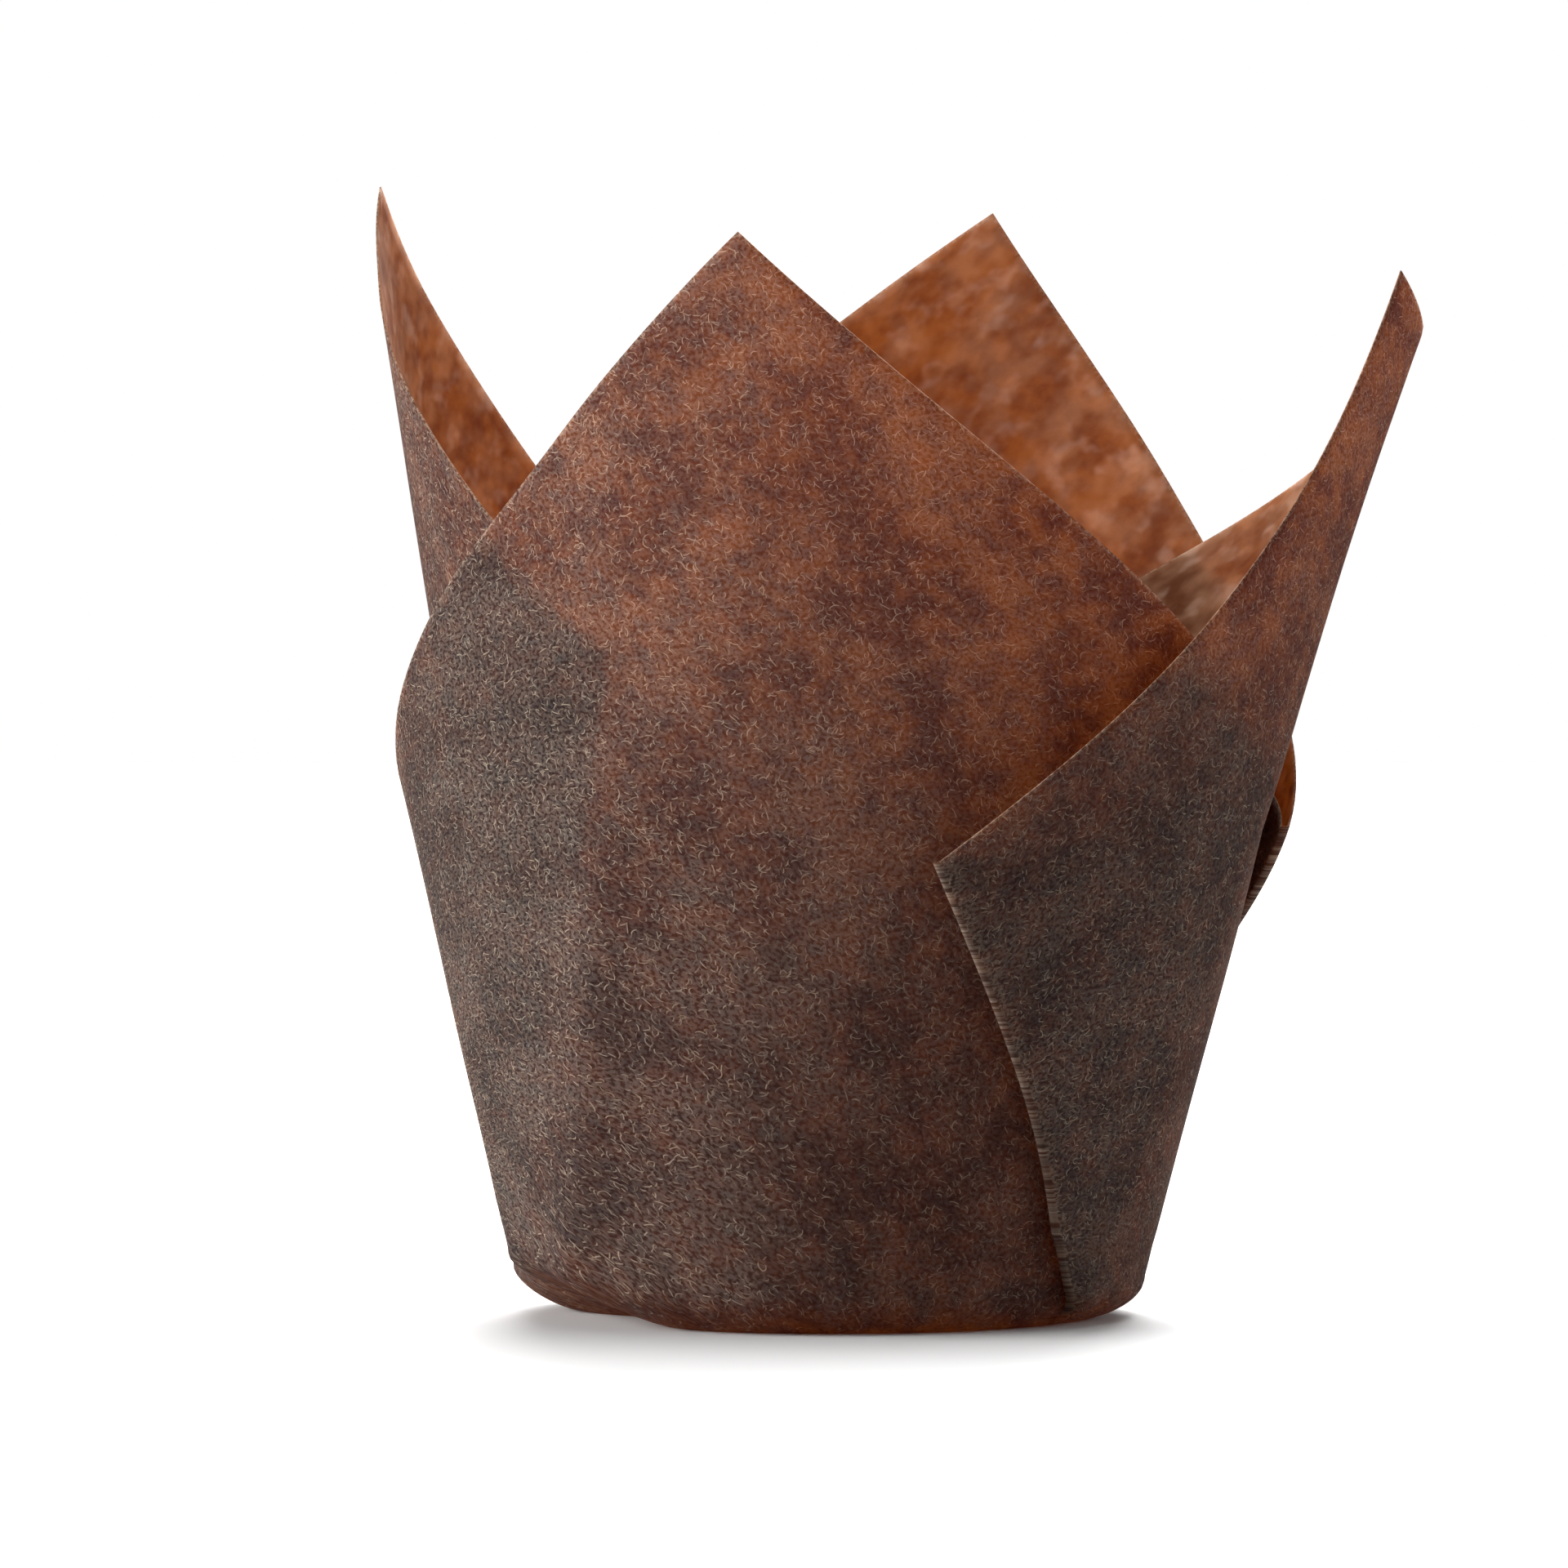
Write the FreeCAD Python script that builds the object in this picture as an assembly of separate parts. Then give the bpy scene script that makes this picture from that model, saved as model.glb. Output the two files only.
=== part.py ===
import FreeCAD, Part
import math
import os

os.makedirs("parts", exist_ok=True)

# A tall cupcake liner, made of one square sheet of baking paper pressed over a round plug.
# The four corners of the sheet stand up as four points. Between two points the spare paper
# lies in a flat Z of three layers, a pleat. All sizes are in mm, all angles in degrees.
# The origin is the middle of the flat base, on the surface that the liner stands on.
# +X is the right of the liner and -Y its front. Angles run from +X towards +Y.

# The sheet and the plug it is pressed over.
sheet_side = 151.0
base_radius = 23.4
edge_radius = 3.0  # rounding between the base and the wall
thickness = 0.24

# The wall leans out, more on one side than on the other.
wall_flare = 0.153  # growth of the radius for each mm of height
side_flare = 0.069  # more of it towards the right, less towards the left
back_flare = -0.067  # more of it towards the front, less towards the back
oval_flare = 0.043  # an oval mouth, longest along the oval's direction
oval_direction = -28.7

# A soft crease runs up the left part of the front.
crease_height = 1.2  # how far it stands out of the wall
crease_width = 7.0  # from its crest to half that height, round the wall
crease_length = 52.0  # how far up the paper it is seen
crease_foot = 213.0  # where it is at the base
crease_head = 239.0  # where it is at its top

# At the left the edge of the base is lifted off the table.
edge_raise = 2.2
edge_draw = 7.0  # how far the flat base is drawn in below it
raise_direction = 203.0
raise_spread = 26.0
raise_length = 20.0  # how far up the wall the lift is felt

# The pleats. Layers are counted from the inside of the cup outwards.
fold_room = 0.36  # clear space inside a fold, between one layer and the next
layer_play = 0.4  # slack between the layers beside an inner fold
pleat_start = 2.6  # width of paper in a pleat where it leaves the flat base
pleat_rise = 4.5  # height up the paper at which a pleat is fully folded
inner_fold = 32.2  # from a point's middle line to the inner fold after it, at the cut edge

# One value for each of the four points: left, front, right, back.
point_angles = (159.8, 260.1, 329.1, 426.3)  # where the tip is
middle_angles = (191.0, 261.1, 394.3, 461.2)  # where the middle line leaves the base
pleat_angles = (136.4, 195.2, 321.3, 426.3)  # where the pleat before it leaves the base
outer_folds = (46.1, 43.7, 48.5, 45.9)  # from the middle line to the outer fold before it
flap_lifts = (1.9, 3.3, 3.0, 0.9)  # how far that fold stands off the paper behind it at its top
tip_reach = (3.8, -0.9, 1.2, 2.9)  # how far the tip bends outwards
tip_drop = (-2.3, 2.5, 5.6, -0.8)  # how far the bending brings the tip down

# How finely the paper's shape is followed.
half_columns = 7
pleat_columns = 3
low_rows = 4
high_rows = 5

layer_step = thickness + fold_room
flat_radius = base_radius - edge_radius
point_length = sheet_side / math.sqrt(2) - flat_radius  # from the flat base up to a tip
round_length = edge_radius * math.pi / 2
petal_spread = 45.0  # how far round the wall one point's bending is felt
twist_power = 1.5


def ease(value):
    """Goes from 0 to 1 without corners."""
    value = max(0.0, min(1.0, value))
    return value * value * (3 - 2 * value)


def turn_between(angle):
    """The same direction as an angle between -180 and 180."""
    return (angle + 180.0) % 360.0 - 180.0


def middle_line(point, up):
    """Direction of a point's middle line at a length up the paper."""
    twist = turn_between(point_angles[point] - middle_angles[point])
    return middle_angles[point] + twist * (up / point_length) ** twist_power


def petal_mean(values, angle, up):
    """The mean of the four points' values, each weighing most around its own middle line."""
    total = 0.0
    weights = 0.0
    for point in range(4):
        away = turn_between(angle - middle_line(point, up)) / petal_spread
        weight = math.exp(-away * away)
        total += weight * values[point]
        weights += weight
    return total / weights


def wall_angle(up):
    """Slope of the paper at a length up: 0 on the flat base, 90 on the wall."""
    return min(up / edge_radius, math.pi / 2)


def crease(angle, up):
    """How far the soft crease stands out of the wall: a rounded crest with wide, hollow sides."""
    share = min(up / crease_length, 1.0)
    crest = crease_foot + (crease_head - crease_foot) * math.sqrt(share)
    away = turn_between(angle - crest) / crease_width
    return crease_height * ease(up / pleat_rise) * ease(2 * (1 - share)) / (1 + away * away)


def raised_share(angle):
    """How much of the lifted edge of the base is felt in a direction, from 0 to 1."""
    away = turn_between(angle - raise_direction) / raise_spread
    return math.exp(-away * away)


def wall_radius(angle, up):
    """Distance of the innermost layer from the axis."""
    around = math.radians(angle)
    oval = math.radians(2 * (angle - oval_direction))
    flare = wall_flare + side_flare * math.cos(around) + back_flare * math.sin(around)
    flare += oval_flare * math.cos(oval)
    rise = max(up - round_length, 0.0)
    bend = petal_mean(tip_reach, angle, up) * (up / point_length) ** 2
    drawn = edge_draw * raised_share(angle) * (1 - ease(up / round_length))
    rounded = flat_radius + edge_radius * math.sin(wall_angle(up))
    return rounded - drawn + rise * flare + bend + crease(angle, up)


def wall_height(angle, up):
    """Height of the middle of the paper above the table."""
    rise = max(up - round_length, 0.0)
    drop = petal_mean(tip_drop, angle, up) * (up / point_length) ** 2
    raised = edge_raise * raised_share(angle) * ease(up / round_length) * (1 - ease(rise / raise_length))
    return thickness / 2 + edge_radius * (1 - math.cos(wall_angle(up))) + raised + rise - drop


def sheet_angle(point, side, up):
    """Direction of a line on the sheet: side is -1 at the outer fold, 0 in the middle, 1 at the inner fold."""
    half_pleat = math.degrees(pleat_start / 2 / flat_radius)
    before = middle_angles[point] - pleat_angles[point] - half_pleat
    after = (pleat_angles[(point + 1) % 4] - middle_angles[point]) % 360.0 - half_pleat
    foot = 2 * round_length
    at_base = side * math.radians(before if side < 0 else after) * wall_radius(middle_angles[point], foot)
    at_edge = side * (outer_folds[point] if side < 0 else inner_fold)
    share = up / (point_length - abs(at_edge))
    along = at_base + (at_edge - at_base) * share
    middle = middle_line(point, up)
    return middle + math.degrees(along / wall_radius(middle, max(up, foot)))


def outer_fold_angle(point, up):
    """Direction of the outer fold before a point, which ends at the cut edge."""
    return sheet_angle(point, -1.0, min(up, point_length - outer_folds[point]))


def inner_fold_angle(point, up):
    """Direction of the inner fold after a point, which ends at the cut edge."""
    return sheet_angle(point, 1.0, min(up, point_length - inner_fold))


def fold_lift(point, up):
    """How far the outer fold before a point stands off at a length up the paper."""
    return flap_lifts[point] * min(up / (point_length - outer_folds[point]), 1.5) ** 1.5


def stand_off(point, angle, up):
    """Distance of a point's paper from the innermost layer, at a direction and length up."""
    start = outer_fold_angle(point, up)
    covered = start + turn_between(inner_fold_angle((point + 3) % 4, up) - start)
    under = start + (outer_fold_angle((point + 1) % 4, up) - start) % 360.0
    outside = 2 * layer_step
    if angle < covered:
        share = max(angle - start, 0.0) / (covered - start)
        distance = outside + fold_lift(point, up) * (1 - share) ** 2 + layer_play * share
    else:
        share = ease((angle - covered) / (under - covered))
        distance = (outside + layer_play) * (1 - share)
    return distance * ease(up / pleat_rise)


def paper_spot(angle, up, distance, forward=0.0):
    """A spot at a direction, a length up and a distance off the inner layer, moved forward round the wall."""
    around = math.radians(angle)
    slope = wall_angle(up)
    radius = wall_radius(angle, up) + distance * math.sin(slope)
    x = radius * math.cos(around) - forward * math.sin(around)
    y = radius * math.sin(around) + forward * math.cos(around)
    return (FreeCAD.Vector(x, y, wall_height(angle, up)), around, slope)


def length_up(edge_length, row):
    """Length up the paper of a row: the low rows are the same all round, the others end at the cut edge."""
    low_end = round_length
    if row <= low_rows:
        return low_end * row / low_rows
    share = (row - low_rows) / high_rows
    return low_end + (edge_length - low_end) * share


def half_point(point, side, row):
    """Spots of half a point: from the outer fold to the middle, or from there to the inner fold."""
    spots = []
    for column in range(half_columns + 1):
        share = column / half_columns
        place = share - 1 if side < 0 else share
        at_edge = abs(place) * (outer_folds[point] if side < 0 else inner_fold)
        up = length_up(point_length - at_edge, row)
        angle = sheet_angle(point, place, up)
        spots.append(paper_spot(angle, up, stand_off(point, angle, up)))
    return spots


def pleat(point, row):
    """Spots of the pleat after a point: the turn at the inner fold, the middle layer, the outer turn."""
    following = (point + 1) % 4
    inner_up = length_up(point_length - inner_fold, row)
    outer_up = length_up(point_length - outer_folds[following], row)
    inner_angle = sheet_angle(point, 1.0, inner_up)
    outer_angle = sheet_angle(following, -1.0, outer_up)
    outer_angle = inner_angle + turn_between(outer_angle - inner_angle)
    overlap = math.radians(inner_angle - outer_angle) * base_radius
    folded = ease((overlap + pleat_start) / (2 * pleat_start))
    step = layer_step * ease(inner_up / pleat_rise)
    outer_step = layer_step * ease(outer_up / pleat_rise)
    lift = fold_lift(following, outer_up) * ease(outer_up / pleat_rise)
    handle = layer_step * 2 / 3 * folded
    strip = pleat_start / 6 * (1 - folded)
    inner_turn = [
        paper_spot(inner_angle, inner_up, 0.0),
        paper_spot(inner_angle, inner_up, 0.0, strip / 3 + handle),
        paper_spot(inner_angle, inner_up, step, strip * 2 / 3 + handle),
        paper_spot(inner_angle, inner_up, step, strip),
    ]
    outer_turn = [
        paper_spot(outer_angle, outer_up, outer_step + lift, -strip),
        paper_spot(outer_angle, outer_up, outer_step + lift, -strip * 2 / 3 - handle),
        paper_spot(outer_angle, outer_up, 2 * outer_step + lift, -strip / 3 - handle),
        paper_spot(outer_angle, outer_up, 2 * outer_step + lift, 0.0),
    ]
    middle = [inner_turn[-1]]
    for column in range(1, pleat_columns):
        share = column / pleat_columns
        up = inner_up + (outer_up - inner_up) * share
        angle = inner_angle + (outer_angle - inner_angle) * share
        distance = step + (outer_step + lift - step) * share
        middle.append(paper_spot(angle, up, distance, strip * (1 - 2 * share)))
    middle.append(outer_turn[0])
    strips = [inner_turn[index:index + 2] for index in range(3)] + [middle]
    return strips + [outer_turn[index:index + 2] for index in range(3)]


def ring(row):
    """The closed line of the paper's middle at one row, as a list of stretches that share their ends."""
    stretches = []
    for point in range(4):
        stretches.append(half_point(point, -1, row))
        stretches.append(half_point(point, 1, row))
        stretches.extend(pleat(point, row))
    return stretches


def faces_of_ring(stretches):
    """Moves a ring half the thickness to both sides. Returns the outer and the inner stretches."""
    line = [spot for stretch in stretches for spot in stretch[:-1]]
    count = len(line)
    outer = []
    inner = []
    for index, (place, around, slope) in enumerate(line):
        before = place - line[index - 1][0]
        after = line[(index + 1) % count][0] - place
        sides = []
        for step in (before, after):
            length = math.hypot(step.x, step.y)
            sides.append((step.y / length, -step.x / length))
        side_x = sides[0][0] + sides[1][0]
        side_y = sides[0][1] + sides[1][1]
        size = side_x * side_x + side_y * side_y
        stretch = 2 / max(size, 1.0)
        facing = 3 * (side_x * math.cos(around) + side_y * math.sin(around)) / math.sqrt(size)
        facing = max(-1.0, min(1.0, facing))
        level = thickness / 2 * math.sin(slope) * stretch
        shift = FreeCAD.Vector(side_x * level, side_y * level, -thickness / 2 * math.cos(slope) * facing)
        outer.append(place + shift)
        inner.append(place - shift)
    return split_like(stretches, outer), split_like(stretches, inner)


def split_like(stretches, line):
    """Cuts a closed line of spots back into stretches that share their ends."""
    parts = []
    start = 0
    for stretch in stretches:
        length = len(stretch)
        parts.append([line[(start + index) % len(line)] for index in range(length)])
        start += length - 1
    return parts


def smooth_surface(rows):
    """A smooth face whose four borders depend only on the spots along each border."""
    surface = Part.BSplineSurface()
    degrees = (min(3, len(rows) - 1), min(3, len(rows[0]) - 1))
    knots = []
    repeats = []
    for degree, count in zip(degrees, (len(rows), len(rows[0]))):
        spans = count - degree
        knots.append([float(index) for index in range(spans + 1)])
        repeats.append([degree + 1] + [1] * (spans - 1) + [degree + 1])
    surface.buildFromPolesMultsKnots(rows, repeats[0], repeats[1], knots[0], knots[1],
                                     False, False, degrees[0], degrees[1])
    return surface.toShape()


def base_face(bottom_stretches):
    """The flat disc inside the lowest ring."""
    edges = []
    for stretch in bottom_stretches:
        border = Part.BSplineCurve()
        degree = min(3, len(stretch) - 1)
        spans = len(stretch) - degree
        repeats = [degree + 1] + [1] * (spans - 1) + [degree + 1]
        knots = [float(index) for index in range(spans + 1)]
        border.buildFromPolesMultsKnots(stretch, repeats, knots, False, degree)
        edges.append(border.toShape())
    return Part.Face(Part.Wire(edges))


def make_liner():
    """The folded sheet as one closed solid."""
    outer_rows = []
    inner_rows = []
    for row in range(low_rows + high_rows + 1):
        outer, inner = faces_of_ring(ring(row))
        outer_rows.append(outer)
        inner_rows.append(inner)
    faces = []
    for index in range(len(outer_rows[0])):
        faces.append(smooth_surface([row[index] for row in outer_rows]))
        faces.append(smooth_surface([row[index] for row in inner_rows]))
        faces.append(smooth_surface([outer_rows[-1][index], inner_rows[-1][index]]))
    faces.append(base_face(outer_rows[0]))
    faces.append(base_face(inner_rows[0]))
    shell = Part.makeShell(faces)
    shell.sewShape(0.001)
    solid = Part.makeSolid(shell)
    if solid.Volume < 0:
        solid.reverse()
    return solid


liner = make_liner()
box = liner.BoundBox
print("valid", liner.isValid(), "closed", liner.isClosed(), "volume", round(liner.Volume, 1))
print("width", round(box.XLength, 1), "depth", round(box.YLength, 1), "height", round(box.ZLength, 1))
liner.exportStep("parts/liner.step")
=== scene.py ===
import math

import bpy
import numpy as np
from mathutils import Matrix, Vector


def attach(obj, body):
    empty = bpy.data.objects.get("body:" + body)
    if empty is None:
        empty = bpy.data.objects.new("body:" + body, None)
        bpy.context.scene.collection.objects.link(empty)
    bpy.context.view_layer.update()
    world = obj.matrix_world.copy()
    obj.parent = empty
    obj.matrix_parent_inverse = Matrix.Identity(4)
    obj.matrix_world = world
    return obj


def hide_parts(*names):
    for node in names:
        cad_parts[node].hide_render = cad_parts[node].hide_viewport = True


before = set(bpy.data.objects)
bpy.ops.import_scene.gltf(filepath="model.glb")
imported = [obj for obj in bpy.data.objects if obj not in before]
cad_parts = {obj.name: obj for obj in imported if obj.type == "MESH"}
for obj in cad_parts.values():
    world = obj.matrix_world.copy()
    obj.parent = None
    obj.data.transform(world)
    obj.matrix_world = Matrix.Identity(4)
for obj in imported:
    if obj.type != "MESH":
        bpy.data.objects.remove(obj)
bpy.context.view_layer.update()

# A tall baking cup folded from one square sheet of brown paper. The shape is worked out in
# millimetres and in degrees counted from +X towards +Y. It goes to metres when the mesh is made.
MM = 0.001

# The sheet and the plug it was pressed over.
SHEET_SIDE = 151.0
BASE_RADIUS = 23.4
EDGE_RADIUS = 3.0
PAPER = 0.13

# How the wall leans out.
WALL_FLARE = 0.153
SIDE_FLARE = 0.069
BACK_FLARE = -0.067
OVAL_FLARE = 0.043
OVAL_DIRECTION = -28.7

# The soft crease at the front, and the lifted edge at the left.
CREASE_HEIGHT = 1.2
CREASE_WIDTH = 7.0
CREASE_LENGTH = 52.0
CREASE_FOOT = 213.0
CREASE_HEAD = 239.0
EDGE_RAISE = 2.2
EDGE_DRAW = 7.0
RAISE_DIRECTION = 203.0
RAISE_SPREAD = 26.0
RAISE_LENGTH = 20.0

# The pleats, with layers counted from the inside of the cup outwards.
LAYER_STEP = 0.6
LAYER_PLAY = 0.4
PLEAT_START = 2.6
PLEAT_RISE = 4.5
INNER_FOLDS = (32.2, 41.0, 32.2, 32.2)

# One value for each point of the cup: left, front, right, back.
POINT_ANGLES = (159.8, 260.1, 329.1, 426.3)
MIDDLE_ANGLES = (191.0, 261.1, 394.3, 461.2)
PLEAT_ANGLES = (136.4, 195.2, 321.3, 426.3)
OUTER_FOLDS = (46.1, 43.7, 48.5, 45.9)
FLAP_LIFTS = (1.9, 3.3, 3.6, 1.4)
TIP_REACH = (3.8, -0.9, 1.2, 2.9)
TIP_DROP = (-2.3, 2.5, 5.6, -0.8)

# Soft waves in the paper, and the small gathers where the base turns up into the wall.
RIPPLE_HEIGHT = 0.22
RIPPLE_START = 24.0
GATHER_HEIGHT = 0.34
GATHER_FOOT = 2.0
GATHER_TOP = 9.0

PETAL_SPREAD = 45.0
TWIST_POWER = 1.5
FLAT_RADIUS = BASE_RADIUS - EDGE_RADIUS
HALF_DIAGONAL = SHEET_SIDE / math.sqrt(2)
POINT_LENGTH = HALF_DIAGONAL - FLAT_RADIUS
ROUND_LENGTH = EDGE_RADIUS * math.pi / 2
SHEET_TURN = 191.9  # direction of the first point's diagonal on the flat sheet
FOLD_WEAR = 0.3  # how far the wear of a fold reaches into the paper beside it

# How finely each stretch of paper is followed.
HALF_COLUMNS = 44
TURN_COLUMNS = 6
MIDDLE_COLUMNS = 22
LOW_ROWS = 12
HIGH_ROWS = 58


def ease(value):
    """The share 3s^2 - 2s^3, which goes from 0 to 1 without corners."""
    value = np.clip(value, 0.0, 1.0)
    return value * value * (3 - 2 * value)


def turn_between(angle):
    """The same direction between -180 and 180."""
    return (angle + 180.0) % 360.0 - 180.0


def middle_line(point, up):
    """Direction of a point's middle line: it turns with the length up the paper to a power."""
    twist = turn_between(POINT_ANGLES[point] - MIDDLE_ANGLES[point])
    return MIDDLE_ANGLES[point] + twist * (np.clip(up, 0, None) / POINT_LENGTH) ** TWIST_POWER


def petal_mean(values, angle, up):
    """The mean of four values, each weighed by a bell curve around its point's middle line."""
    total = 0.0
    weights = 0.0
    for point in range(4):
        weight = np.exp(-(turn_between(angle - middle_line(point, up)) / PETAL_SPREAD) ** 2)
        total = total + weight * values[point]
        weights = weights + weight
    return total / weights


def wall_slope(up):
    """Slope of the paper: the length up divided by the edge's radius, until it stands upright."""
    return np.minimum(up / EDGE_RADIUS, math.pi / 2)


def crease(angle, up):
    """The crease's height over one plus the square of the way round from its crest, faded at both ends."""
    share = np.clip(up / CREASE_LENGTH, 0.0, 1.0)
    crest = CREASE_FOOT + (CREASE_HEAD - CREASE_FOOT) * np.sqrt(share)
    away = turn_between(angle - crest) / CREASE_WIDTH
    return CREASE_HEIGHT * ease(up / PLEAT_RISE) * ease(2 * (1 - share)) / (1 + away ** 2)


def raised_share(angle):
    """How much of the lifted edge is felt in a direction: a bell curve."""
    return np.exp(-(turn_between(angle - RAISE_DIRECTION) / RAISE_SPREAD) ** 2)


def ripple(angle, up):
    """Waves: sines of the way round and the length up, long ones on the wall and short ones at the base."""
    around = np.radians(angle)
    long_waves = (np.sin(3 * around + up / 11.0) + 0.7 * np.sin(5 * around - up / 8.0 + 1.0)
                  + 0.4 * np.sin(9 * around + up / 6.0 + 2.0))
    short_waves = (np.sin(17 * around + 0.5) + np.sin(29 * around + up / 3.0)
                   + 0.6 * np.sin(47 * around - up / 2.0))
    near_base = ease(up / GATHER_FOOT) * (1 - ease((up - GATHER_FOOT) / (GATHER_TOP - GATHER_FOOT)))
    return (RIPPLE_HEIGHT / 2 * long_waves * ease(up / RIPPLE_START)
            + GATHER_HEIGHT / 3 * short_waves * near_base)


def wall_radius(angle, up):
    """Distance of the innermost layer from the axis: a rounded edge, a leaning wall, a bent tip."""
    around = np.radians(angle)
    flare = WALL_FLARE + SIDE_FLARE * np.cos(around) + BACK_FLARE * np.sin(around)
    flare = flare + OVAL_FLARE * np.cos(2 * np.radians(angle - OVAL_DIRECTION))
    rise = np.maximum(up - ROUND_LENGTH, 0.0)
    bend = petal_mean(TIP_REACH, angle, up) * (up / POINT_LENGTH) ** 2
    drawn = EDGE_DRAW * raised_share(angle) * (1 - ease(up / ROUND_LENGTH))
    rounded = FLAT_RADIUS + EDGE_RADIUS * np.sin(wall_slope(up))
    return rounded - drawn + rise * flare + bend + crease(angle, up) + ripple(angle, up)


def wall_height(angle, up):
    """Height of the paper's middle: the rounded edge, then the length up less the tip's drop."""
    rise = np.maximum(up - ROUND_LENGTH, 0.0)
    drop = petal_mean(TIP_DROP, angle, up) * (up / POINT_LENGTH) ** 2
    raised = EDGE_RAISE * raised_share(angle) * ease(up / ROUND_LENGTH) * (1 - ease(rise / RAISE_LENGTH))
    return PAPER / 2 + EDGE_RADIUS * (1 - np.cos(wall_slope(up))) + raised + rise - drop


def sheet_angle(point, side, up):
    """Direction of a straight line on the sheet, from the base edge to the cut edge.

    side is -1 at the outer fold before a point, 0 at its middle line, 1 at the inner fold after it.
    """
    half_pleat = math.degrees(PLEAT_START / 2 / FLAT_RADIUS)
    before = MIDDLE_ANGLES[point] - PLEAT_ANGLES[point] - half_pleat
    after = (PLEAT_ANGLES[(point + 1) % 4] - MIDDLE_ANGLES[point]) % 360.0 - half_pleat
    foot = 2 * ROUND_LENGTH
    at_foot = wall_radius(np.float64(MIDDLE_ANGLES[point]), np.float64(foot))
    at_base = side * np.where(side < 0, math.radians(before), math.radians(after)) * at_foot
    at_edge = side * np.where(side < 0, OUTER_FOLDS[point], INNER_FOLDS[point])
    along = at_base + (at_edge - at_base) * up / (POINT_LENGTH - np.abs(at_edge))
    middle = middle_line(point, up)
    return middle + np.degrees(along / wall_radius(middle, np.maximum(up, foot)))


def outer_fold_angle(point, up):
    """Direction of the outer fold before a point."""
    return sheet_angle(point, np.float64(-1.0), np.minimum(up, POINT_LENGTH - OUTER_FOLDS[point]))


def inner_fold_angle(point, up):
    """Direction of the inner fold after a point."""
    return sheet_angle(point, np.float64(1.0), np.minimum(up, POINT_LENGTH - INNER_FOLDS[point]))


def fold_lift(point, up):
    """How far the outer fold stands off: it grows with the length up to the power 1.5."""
    return FLAP_LIFTS[point] * np.minimum(up / (POINT_LENGTH - OUTER_FOLDS[point]), 1.5) ** 1.5


def stand_off(point, angle, up):
    """Distance of a point's paper from the innermost layer: outside the pleat before it, inside the next."""
    start = outer_fold_angle(point, up)
    covered = start + turn_between(inner_fold_angle((point + 3) % 4, up) - start)
    under = start + (outer_fold_angle((point + 1) % 4, up) - start) % 360.0
    outside = 2 * LAYER_STEP
    share = np.clip((angle - start) / np.maximum(covered - start, 0.001), 0.0, 1.0)
    over = outside + fold_lift(point, up) * (1 - share) ** 2 + LAYER_PLAY * share
    beyond = (outside + LAYER_PLAY) * (1 - ease((angle - covered) / (under - covered)))
    return np.where(angle < covered, over, beyond) * ease(up / PLEAT_RISE)


def paper_spots(angle, up, distance, forward=0.0):
    """Spots in space from a direction, a length up, a distance outwards and one forward round the wall."""
    around = np.radians(angle)
    radius = wall_radius(angle, up) + distance * np.sin(wall_slope(up))
    x = radius * np.cos(around) - forward * np.sin(around)
    y = radius * np.sin(around) + forward * np.cos(around)
    return np.stack([x, y, wall_height(angle, up)], axis=-1)


def sheet_corner(point):
    """Where a point's tip lies on the flat sheet: on a diagonal, half its length from the middle."""
    direction = math.radians(SHEET_TURN + 90.0 * point)
    return HALF_DIAGONAL * np.array([math.cos(direction), math.sin(direction)])


def on_sheet(point, along, angle, up, edge_length):
    """Places on the flat sheet in millimetres.

    Each line of the sheet runs from the base circle, at the direction where the paper leaves it, to
    the cut edge, at a distance along from the point's middle line. A row lies at its share of that line.
    """
    beside = np.where((along < 0)[..., None], sheet_corner(point - 1), sheet_corner(point + 1))
    from_tip = (np.abs(along) / HALF_DIAGONAL)[..., None]
    cut = sheet_corner(point) * (1 - from_tip) + beside * from_tip
    foot = np.radians(angle[0])
    base = FLAT_RADIUS * np.stack([np.cos(foot), np.sin(foot)], axis=-1)
    return base + (cut - base) * (up / edge_length)[..., None]


def lengths_up(edge_length):
    """Lengths up the paper of all rows: the low rows are level all round, the others end at the cut edge."""
    low = np.linspace(0.0, ROUND_LENGTH, LOW_ROWS + 1)[:, None] + 0 * edge_length
    share = np.linspace(0.0, 1.0, HIGH_ROWS + 1)[1:, None]
    return np.concatenate([low, ROUND_LENGTH + (edge_length - ROUND_LENGTH) * share])


def with_sheet(spots, places, fold):
    """Seven numbers a spot: place in space, place on the sheet, fold wear and share of the way up."""
    rows, columns = spots.shape[:2]
    height = np.linspace(0.0, 1.0, rows)[:, None, None] + np.zeros((rows, columns, 1))
    wear = np.zeros((rows, columns, 1)) + fold
    return np.concatenate([spots, places, wear, height], axis=-1)


def half_point(point, side):
    """Half a point: straight lines of the sheet between its middle line and one of its folds."""
    place = np.linspace(0.0, 1.0, HALF_COLUMNS + 1)
    place = place - 1 if side < 0 else place
    along = place * (OUTER_FOLDS[point] if side < 0 else INNER_FOLDS[point])
    up = lengths_up(POINT_LENGTH - np.abs(along))
    angle = sheet_angle(point, place[None, :], up)
    spots = paper_spots(angle, up, stand_off(point, angle, up))
    places = on_sheet(point, along, angle, up, POINT_LENGTH - np.abs(along))
    fold = np.clip(1 - (place + 1) * OUTER_FOLDS[point] / FOLD_WEAR, 0, 1) if side < 0 else 0 * place
    return with_sheet(spots, places, fold[None, :, None])


def curve_between(corners, count):
    """A cubic curve through the first and last of four corner grids, drawn towards the two between."""
    share = np.linspace(0.0, 1.0, count + 1)[None, :, None]
    first, second, third, last = [corner[:, None, :] for corner in corners]
    return (first * (1 - share) ** 3 + 3 * second * share * (1 - share) ** 2
            + 3 * third * share ** 2 * (1 - share) + last * share ** 3)


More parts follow.
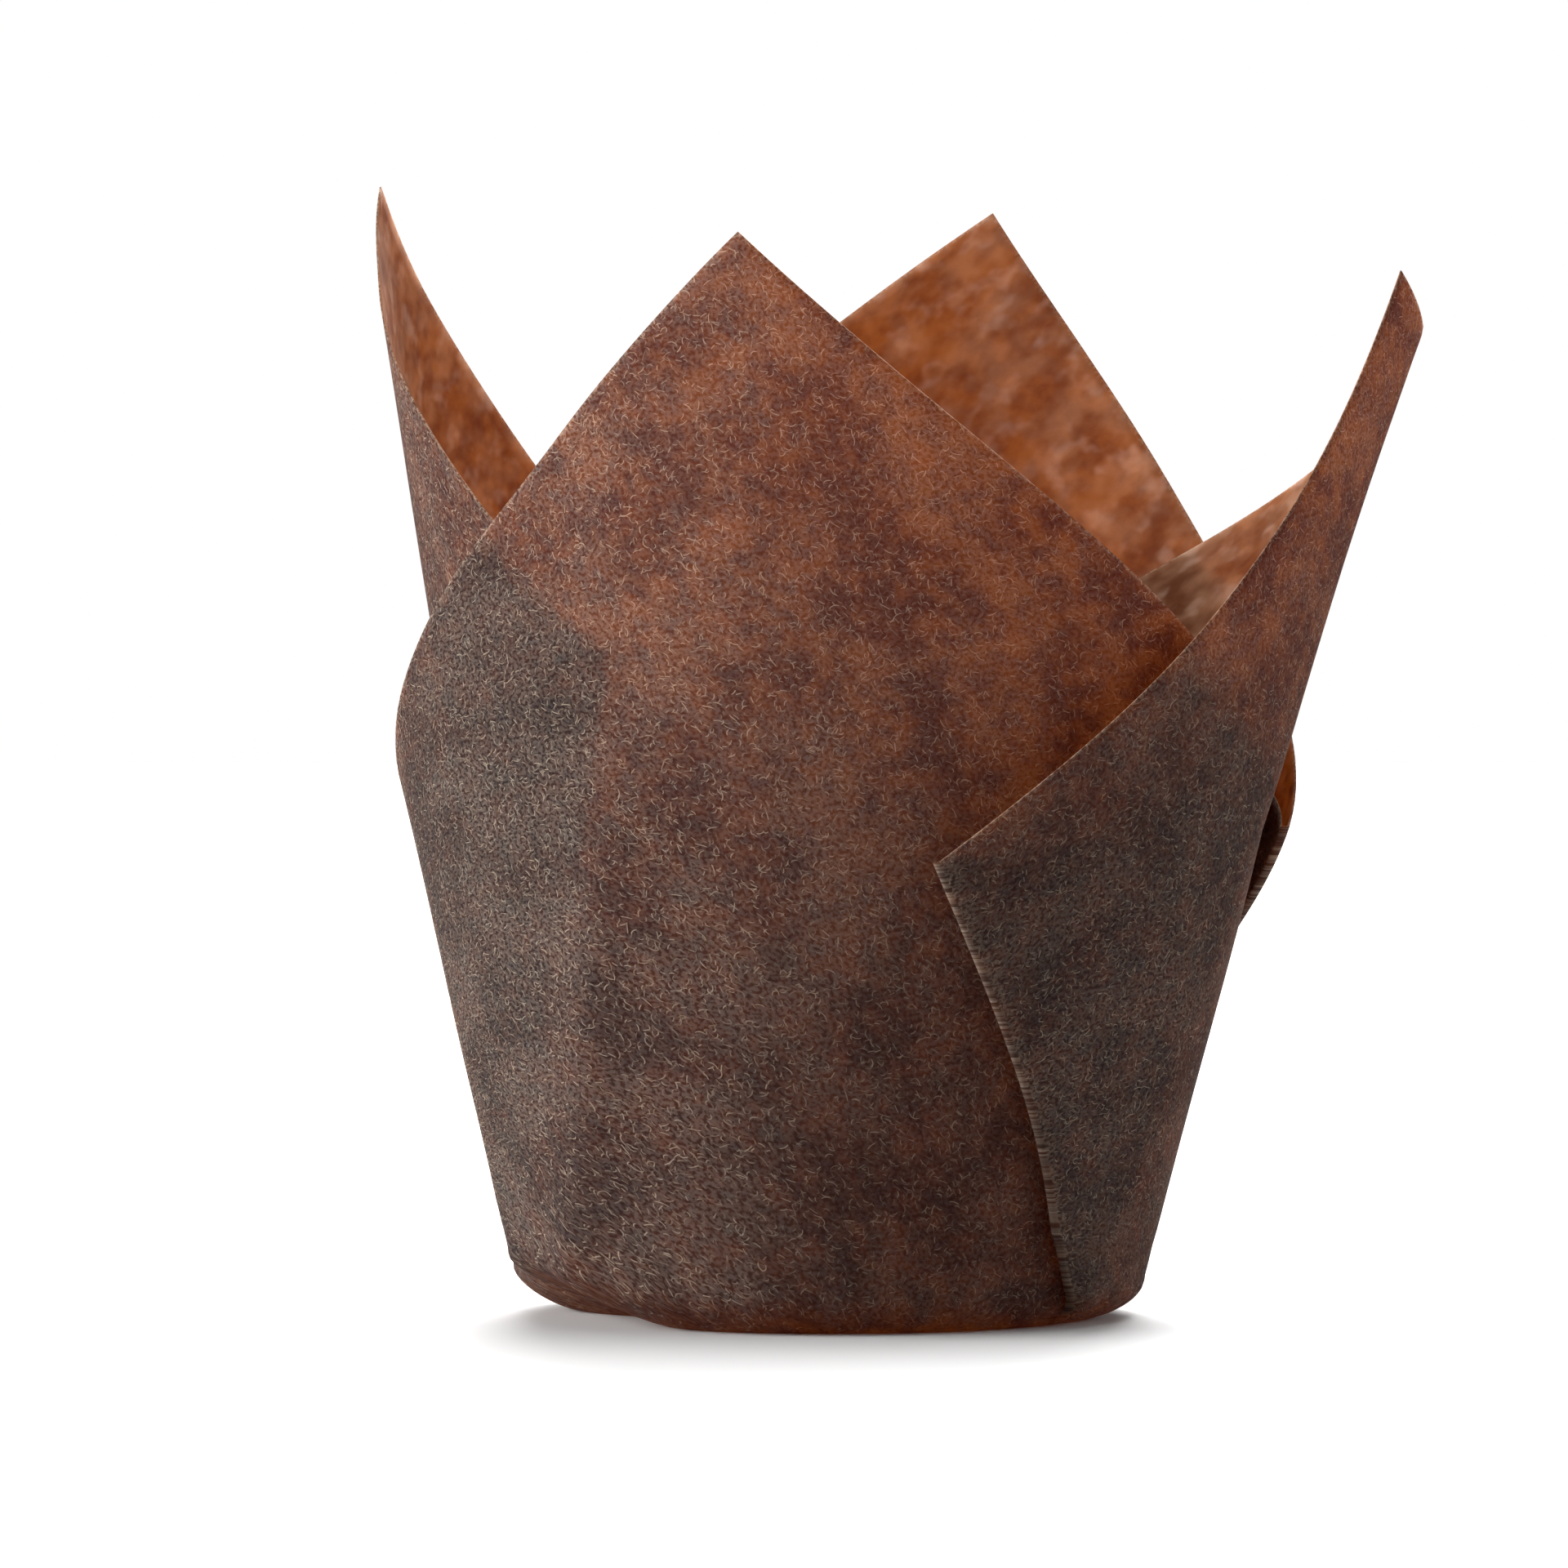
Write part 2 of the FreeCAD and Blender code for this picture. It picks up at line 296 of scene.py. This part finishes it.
def pleat(point):
    """The pleat after a point: a half turn outwards, the middle layer going back, and a second half turn."""
    following = (point + 1) % 4
    inner_up = lengths_up(np.array([POINT_LENGTH - INNER_FOLDS[point]]))[:, 0]
    outer_up = lengths_up(np.array([POINT_LENGTH - OUTER_FOLDS[following]]))[:, 0]
    inner_angle = inner_fold_angle(point, inner_up)
    outer_angle = outer_fold_angle(following, outer_up)
    outer_angle = inner_angle + turn_between(outer_angle - inner_angle)
    overlap = np.radians(inner_angle - outer_angle) * BASE_RADIUS
    folded = ease((overlap + PLEAT_START) / (2 * PLEAT_START))
    step = LAYER_STEP * ease(inner_up / PLEAT_RISE)
    outer_step = LAYER_STEP * ease(outer_up / PLEAT_RISE)
    lift = fold_lift(following, outer_up) * ease(outer_up / PLEAT_RISE)
    handle = LAYER_STEP * 2 / 3 * folded
    strip = PLEAT_START / 6 * (1 - folded)
    inner_turn = curve_between([
        paper_spots(inner_angle, inner_up, 0 * step),
        paper_spots(inner_angle, inner_up, 0 * step, strip / 3 + handle),
        paper_spots(inner_angle, inner_up, step, strip * 2 / 3 + handle),
        paper_spots(inner_angle, inner_up, step, strip)], TURN_COLUMNS)
    top = outer_step + lift
    outer_turn = curve_between([
        paper_spots(outer_angle, outer_up, top, -strip),
        paper_spots(outer_angle, outer_up, top, -strip * 2 / 3 - handle),
        paper_spots(outer_angle, outer_up, outer_step + top, -strip / 3 - handle),
        paper_spots(outer_angle, outer_up, outer_step + top)], TURN_COLUMNS)
    share = np.linspace(0.0, 1.0, MIDDLE_COLUMNS + 1)[None, :]
    up = inner_up[:, None] + (outer_up - inner_up)[:, None] * share
    angle = inner_angle[:, None] + (outer_angle - inner_angle)[:, None] * share
    distance = step[:, None] + (top - step)[:, None] * share ** 2
    middle = paper_spots(angle, up, distance, strip[:, None] * (1 - 2 * share))
    first = on_sheet(point, np.array([INNER_FOLDS[point]]), inner_angle[:, None], inner_up[:, None],
                     POINT_LENGTH - INNER_FOLDS[point])
    last = on_sheet(following, np.array([-OUTER_FOLDS[following]]), outer_angle[:, None], outer_up[:, None],
                    POINT_LENGTH - OUTER_FOLDS[following])
    places = first + (last - first) * share[..., None]
    start = np.repeat(first, TURN_COLUMNS + 1, axis=1)
    end = np.repeat(last, TURN_COLUMNS + 1, axis=1)
    return [with_sheet(inner_turn, start, 0.0),
            with_sheet(middle, places, 0.0),
            with_sheet(outer_turn, end, 1.0)]


def paper_grid():
    """All rows and columns of the sheet round the cup, closed round without a doubled column."""
    stretches = []
    for point in range(4):
        stretches += [half_point(point, -1), half_point(point, 1)] + pleat(point)
    return np.concatenate([stretch[:, :-1] for stretch in stretches], axis=1)


def grid_normals(spots):
    """Normals of a grid that is closed round: the cross product of its two directions of growth."""
    round_way = np.roll(spots, -1, axis=1) - np.roll(spots, 1, axis=1)
    up_way = np.gradient(spots, axis=0)
    normal = np.cross(round_way, up_way)
    return normal / np.maximum(np.linalg.norm(normal, axis=-1, keepdims=True), 1e-9)


def closed_sheet(grid):
    """Both faces of the paper, its cut edge and its flat base as one closed surface.

    Each face is the middle grid moved half the thickness along its normals. The base is a fan
    from the middle of the lowest row.
    """
    spots = grid[..., :3]
    normal = grid_normals(spots)
    rows, columns = spots.shape[:2]
    outer = spots + normal * PAPER / 2
    inner = spots - normal * PAPER / 2
    outer[0, :, 2] = 0.0
    inner[0, :, 2] = PAPER
    vertices = np.concatenate([outer.reshape(-1, 3), inner.reshape(-1, 3),
                               [[0.0, 0.0, 0.0], [0.0, 0.0, PAPER]]])
    marks = grid[..., 3:].reshape(-1, 4)
    centre = np.zeros((2, 4))
    marks = np.concatenate([marks, marks, centre])
    inside = np.concatenate([np.zeros(rows * columns), np.ones(rows * columns), [0.0, 1.0]])
    row = np.arange(rows - 1)[:, None]
    column = np.arange(columns)[None, :]
    beside = (column + 1) % columns
    here = row * columns + column
    next_here = row * columns + beside
    outer_quads = np.stack([here, next_here, next_here + columns, here + columns], axis=-1).reshape(-1, 4)
    inner_quads = outer_quads[:, ::-1] + rows * columns
    top = (rows - 1) * columns + column[0]
    top_beside = (rows - 1) * columns + beside[0]
    edge_quads = np.stack([top, top_beside, top_beside + rows * columns, top + rows * columns], axis=-1)
    count = 2 * rows * columns
    under_middle = 0 * column[0] + count
    base = np.stack([column[0], under_middle, beside[0]], axis=-1)
    inner_foot = column[0] + rows * columns
    inner_beside = beside[0] + rows * columns
    floor = np.stack([inner_foot, inner_beside, under_middle + 1], axis=-1)
    faces = [tuple(face) for face in np.concatenate([outer_quads, inner_quads, edge_quads]).tolist()]
    faces += [tuple(face) for face in np.concatenate([base, floor]).tolist()]
    return vertices, faces, marks, inside


def new_piece(name, shape, material):
    """A smooth mesh object at the origin, from spots in millimetres. Its UV map is the flat sheet."""
    vertices, faces, marks, inside = shape
    mesh = bpy.data.meshes.new(name)
    mesh.from_pydata((vertices * MM).tolist(), [], faces)
    mesh.materials.append(material)
    mesh.polygons.foreach_set("use_smooth", [True] * len(mesh.polygons))
    corner = np.empty(len(mesh.loops), dtype=np.int32)
    mesh.loops.foreach_get("vertex_index", corner)
    sheet_map = mesh.uv_layers.new(name="sheet")
    sheet_map.data.foreach_set("uv", marks[corner, :2].ravel())
    for label, values in (("fold_wear", marks[:, 2]), ("edge_share", marks[:, 3]), ("inside", inside)):
        mesh.attributes.new(label, "FLOAT", "POINT").data.foreach_set("value", values.astype(np.float32))
    piece = bpy.data.objects.new(name, mesh)
    bpy.context.scene.collection.objects.link(piece)
    return piece


def node(tree, kind, inputs, **settings):
    """A shader node with its settings, whose inputs are given values or other nodes' outputs."""
    made = tree.nodes.new("ShaderNode" + kind)
    for name, value in settings.items():
        setattr(made, name, value)
    for name, value in inputs.items():
        if isinstance(value, bpy.types.NodeSocket):
            tree.links.new(value, made.inputs[name])
        else:
            made.inputs[name].default_value = value
    return made


def sums(tree, operation, *values):
    """A math node's result."""
    return node(tree, "Math", dict(enumerate(values)), operation=operation).outputs[0]


def spread(tree, value, low, high, to_low=0.0, to_high=1.0):
    """A value's smooth way from low to high, brought to another range."""
    ends = {0: value, 1: low, 2: high, 3: to_low, 4: to_high}
    return node(tree, "MapRange", ends, interpolation_type="SMOOTHSTEP").outputs[0]


def blend(tree, share, first, second, kind="MIX"):
    """Two colours mixed."""
    made = node(tree, "Mix", {0: share, 6: first, 7: second}, data_type="RGBA", blend_type=kind)
    return made.outputs[2]


def clouds(tree, place, size, detail=2.0, shift=0.0):
    """Cloudy noise whose patches are about size millimetres wide."""
    moved = node(tree, "VectorMath", {0: place, 1: (shift, 0.7 * shift, 0.0)}, operation="ADD").outputs[0]
    made = node(tree, "TexNoise", {"Vector": moved, "Scale": 1.0 / size, "Detail": detail, "Roughness": 0.55},
                noise_dimensions="2D")
    return made.outputs[0]


def fibres(tree, place, size, shift):
    """Short curved fibres, one in each cell of a random net.

    A cell's spot is the origin. The place is turned by a random angle, a little of its square is
    added to bend it, and a fibre shows where it is thin across and short along.
    """
    moved = node(tree, "VectorMath", {0: place, 1: (shift, 1.7 * shift, 0.0)}, operation="ADD").outputs[0]
    cell = node(tree, "TexVoronoi", {"Vector": moved, "Scale": 1.0 / size}, voronoi_dimensions="2D")
    local = node(tree, "VectorMath", {0: moved, 1: cell.outputs["Position"]}, operation="SUBTRACT").outputs[0]
    chance = node(tree, "SeparateColor", {0: cell.outputs["Color"]})
    angle = sums(tree, "MULTIPLY", chance.outputs[0], 2 * math.pi)
    turned = node(tree, "VectorRotate", {"Vector": local, "Angle": angle}, rotation_type="Z_AXIS").outputs[0]
    parts = node(tree, "SeparateXYZ", {0: turned})
    bend = sums(tree, "MULTIPLY_ADD", chance.outputs[1], 2 * FIBRE_BEND / size, -FIBRE_BEND / size)
    square = sums(tree, "MULTIPLY", parts.outputs[0], parts.outputs[0])
    across = sums(tree, "ABSOLUTE", sums(tree, "MULTIPLY_ADD", square, bend, parts.outputs[1]))
    along = sums(tree, "ABSOLUTE", parts.outputs[0])
    thin = spread(tree, across, *FIBRE_EDGE, 1.0, 0.0)
    short = spread(tree, along, 0.3 * size, 0.5 * size, 1.0, 0.0)
    bright = sums(tree, "POWER", chance.outputs[2], FIBRE_RARITY)
    return sums(tree, "MULTIPLY", sums(tree, "MULTIPLY", thin, short), bright)


def brown_paper():
    """Brown baking paper: felted fibres outside, smoother and warmer inside, and light that comes through."""
    material = bpy.data.materials.new("brown_baking_paper")
    material.use_nodes = True
    tree = material.node_tree
    shader = tree.nodes["Principled BSDF"]
    output = tree.nodes["Material Output"]
    place = node(tree, "UVMap", {}, uv_map="sheet").outputs[0]
    inside = node(tree, "Attribute", {}, attribute_name="inside").outputs["Fac"]
    inner = sums(tree, "GREATER_THAN", inside, 0.5)
    wear = node(tree, "Attribute", {}, attribute_name="fold_wear").outputs["Fac"]
    edge = node(tree, "Attribute", {}, attribute_name="edge_share").outputs["Fac"]

    # Each cloud has its own width in millimetres, detail and shift.
    broad = clouds(tree, place, 9.0, 3.0)
    middling = clouds(tree, place, 4.2, 3.0, 113.0)
    patchy = clouds(tree, place, 1.4, 3.0, 31.0)
    grain = clouds(tree, place, 0.3, 2.0, 57.0)
    hairs = fibres(tree, place, FIBRE_SIZES[0], 0.0)
    for index, size in enumerate(FIBRE_SIZES[1:]):
        hairs = sums(tree, "MAXIMUM", hairs, fibres(tree, place, size, 13.7 * (index + 1)))

    outer = blend(tree, spread(tree, broad, 0.35, 0.65), OUTER_DARK, OUTER_LIGHT)
    outer = blend(tree, spread(tree, patchy, 0.25, 0.75, 0.1, 0.5), outer, OUTER_RED)
    # Painted shade: the outer face is darkened where the grain is low, which is where the relief sinks into
    # pits.
    outer = blend(tree, spread(tree, grain, 0.35, 0.6, 0.85, 0.0), outer, OUTER_PIT_SHADE)
    outer = blend(tree, sums(tree, "MULTIPLY", hairs, FIBRE_SHARE), outer, FIBRE_COLOUR)
    lining_clouds = clouds(tree, place, 3.2, 2.0, 83.0)
    pale_clouds = clouds(tree, place, 2.6, 2.0, 149.0)
    lining = blend(tree, spread(tree, lining_clouds, 0.3, 0.7), INNER_DARK, INNER_LIGHT)
    lining = blend(tree, spread(tree, pale_clouds, 0.5, 0.8, 0.0, 0.6), lining, INNER_PALE)
    colour = blend(tree, inner, outer, lining)

    # The cut edge and the outer folds are rubbed a little paler.
    rim = spread(tree, edge, 0.994, 1.0, 0.0, 0.3)
    rubbed = sums(tree, "MULTIPLY", sums(tree, "MAXIMUM", rim, sums(tree, "MULTIPLY", wear, 0.25)),
                  spread(tree, grain, 0.4, 0.65, 0.1, 1.0))
    colour = blend(tree, rubbed, colour, FIBRE_COLOUR)
    tree.links.new(colour, shader.inputs["Base Color"])

    # Paper mirrors little: the low index keeps its outline from going pale before the white.
    rough = sums(tree, "MULTIPLY_ADD", inner, INNER_ROUGHNESS - OUTER_ROUGHNESS, OUTER_ROUGHNESS)
    tree.links.new(rough, shader.inputs["Roughness"])
    shader.inputs["IOR"].default_value = 1.2
    shader.inputs["Specular IOR Level"].default_value = 0.3

    relief = sums(tree, "MULTIPLY", grain, sums(tree, "MULTIPLY_ADD", inner, -0.6, 0.8))
    relief = sums(tree, "ADD", relief, sums(tree, "MULTIPLY", patchy, 1.2))
    bump = node(tree, "Bump", {"Height": relief, "Strength": 0.4, "Distance": RELIEF_DEPTH * MM}).outputs[0]
    tree.links.new(bump, shader.inputs["Normal"])

    # Light comes through in warm flocks, and less where layers lie over each other.
    flocks = sums(tree, "MULTIPLY_ADD", broad, 0.3, sums(tree, "MULTIPLY", patchy, 0.38))
    flocks = sums(tree, "MULTIPLY_ADD", middling, 0.32, flocks)
    glow = blend(tree, spread(tree, flocks, 0.36, 0.64), GLOW_DARK, GLOW_LIGHT)
    through = node(tree, "BsdfTranslucent", {"Color": glow, "Normal": bump}).outputs[0]
    both = node(tree, "MixShader", {0: LIGHT_THROUGH, 1: shader.outputs[0], 2: through}).outputs[0]
    tree.links.new(both, output.inputs["Surface"])
    return material


def seen_share(tree):
    """1 for the camera's rays, also where they are mirrored or pass through something; 0 for the others."""
    path = node(tree, "LightPath", {})
    beyond = sums(tree, "MAXIMUM", path.outputs["Is Glossy Ray"], path.outputs["Is Transmission Ray"])
    return sums(tree, "MAXIMUM", path.outputs["Is Camera Ray"], beyond)


def white_floor():
    """White to the camera, so that it meets the white behind it, and a plain grey to the object."""
    material = bpy.data.materials.new("white_floor")
    material.use_nodes = True
    tree = material.node_tree
    shader = tree.nodes["Principled BSDF"]
    shader.inputs["Roughness"].default_value = 1.0
    shader.inputs["Specular IOR Level"].default_value = 0.0
    tree.links.new(blend(tree, seen_share(tree), FLOOR_LIT, FLOOR_SEEN), shader.inputs["Base Color"])
    return material


def white_room():
    """Plain light from all sides, behind a backdrop that the camera sees as white."""
    world = bpy.data.worlds.new("white_room")
    bpy.context.scene.world = world
    world.use_nodes = True
    tree = world.node_tree
    light = tree.nodes["Background"]
    light.inputs["Color"].default_value = (1, 1, 1, 1)
    light.inputs["Strength"].default_value = ROOM_LIGHT
    seen = node(tree, "Background", {"Color": (1, 1, 1, 1), "Strength": 1.0}).outputs[0]
    both = node(tree, "MixShader", {0: seen_share(tree), 1: light.outputs[0], 2: seen}).outputs[0]
    tree.links.new(both, tree.nodes["World Output"].inputs["Surface"])


def softbox(name, direction, elevation, strength, width):
    """A wide, even light from a direction counted like the part's angles, at a height above the table."""
    data = bpy.data.lights.new(name, "SUN")
    data.energy = strength
    data.angle = math.radians(width)
    lamp = bpy.data.objects.new(name, data)
    bpy.context.scene.collection.objects.link(lamp)
    around = math.radians(direction)
    above = math.radians(elevation)
    level = math.cos(above)
    towards = Vector((math.cos(around) * level, math.sin(around) * level, math.sin(above)))
    lamp.rotation_euler = towards.to_track_quat("Z", "Y").to_euler()


# Colours of the paper, of the painted shade in its pits and of the light that comes through it, and its
# fibres in millimetres.
OUTER_DARK = (0.078, 0.068, 0.066, 1)
OUTER_LIGHT = (0.164, 0.141, 0.125, 1)
OUTER_RED = (0.146, 0.099, 0.074, 1)
# Painted shade for the pits between the fibres.
OUTER_PIT_SHADE = (0.014, 0.012, 0.013, 1)
INNER_DARK = (0.15, 0.060, 0.028, 1)
INNER_LIGHT = (0.32, 0.170, 0.095, 1)
INNER_PALE = (0.56, 0.38, 0.28, 1)
FIBRE_COLOUR = (0.76, 0.61, 0.45, 1)
GLOW_DARK = (0.60, 0.20, 0.050, 1)
GLOW_LIGHT = (1.0, 0.47, 0.16, 1)
FIBRE_SIZES = (0.95, 0.75, 0.6, 0.45)
FIBRE_SHARE = 0.7
FIBRE_BEND = 1.5
FIBRE_EDGE = (0.015, 0.05)  # distances from its middle line where a fibre begins to fade and is gone
FIBRE_RARITY = 3.5  # the higher, the fewer fibres are bright
RELIEF_DEPTH = 0.06
OUTER_ROUGHNESS = 0.95
INNER_ROUGHNESS = 0.8
LIGHT_THROUGH = 0.235

# The light of the room, and the floor: its colours to the object and to the camera, its side in metres.
ROOM_LIGHT = 0.14
FLOOR_LIT = (0.2, 0.2, 0.2, 1)
FLOOR_SEEN = (0.92, 0.92, 0.92, 1)
FLOOR_SIZE = 4.0

# The camera, in millimetres.
SENSOR_WIDTH = 36.0
PICTURE_WIDTH = 120.384
PICTURE_MIDDLE = -3.115
CAMERA_AWAY = 800.0
CAMERA_HEIGHT = 59.19
AIM_HEIGHT = 40.72

liner = new_piece("paper_cup", closed_sheet(paper_grid()), brown_paper())
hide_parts("liner")
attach(liner, "root")

bpy.ops.mesh.primitive_plane_add(size=FLOOR_SIZE, location=(0, 0, 0))
floor = bpy.context.object
floor.name = "floor"
floor.data.materials.append(white_floor())

# Each lamp's direction, height above the table in degrees, strength and width in degrees.
white_room()
softbox("top_softbox", 45.0, 80.0, 2.3, 38.0)
softbox("back_softbox", 86.0, 24.0, 7.2, 34.0)
softbox("left_softbox", 188.0, 9.0, 5.4, 50.0)
softbox("right_softbox", 8.0, 8.0, 1.0, 50.0)

# The camera stands in front and a little above, and looks slightly down.
camera_data = bpy.data.cameras.new("camera")
camera = bpy.data.objects.new("camera", camera_data)
bpy.context.scene.collection.objects.link(camera)
camera_data.sensor_width = SENSOR_WIDTH
camera_data.lens = SENSOR_WIDTH * CAMERA_AWAY / PICTURE_WIDTH
camera.location = Vector((PICTURE_MIDDLE, -CAMERA_AWAY, CAMERA_HEIGHT)) * MM
aim = Vector((PICTURE_MIDDLE, 0.0, AIM_HEIGHT)) * MM
camera.rotation_euler = (aim - camera.location).to_track_quat("-Z", "Y").to_euler()
camera_data.clip_end = 20.0
bpy.context.scene.camera = camera

bpy.context.scene.view_settings.view_transform = "Standard"
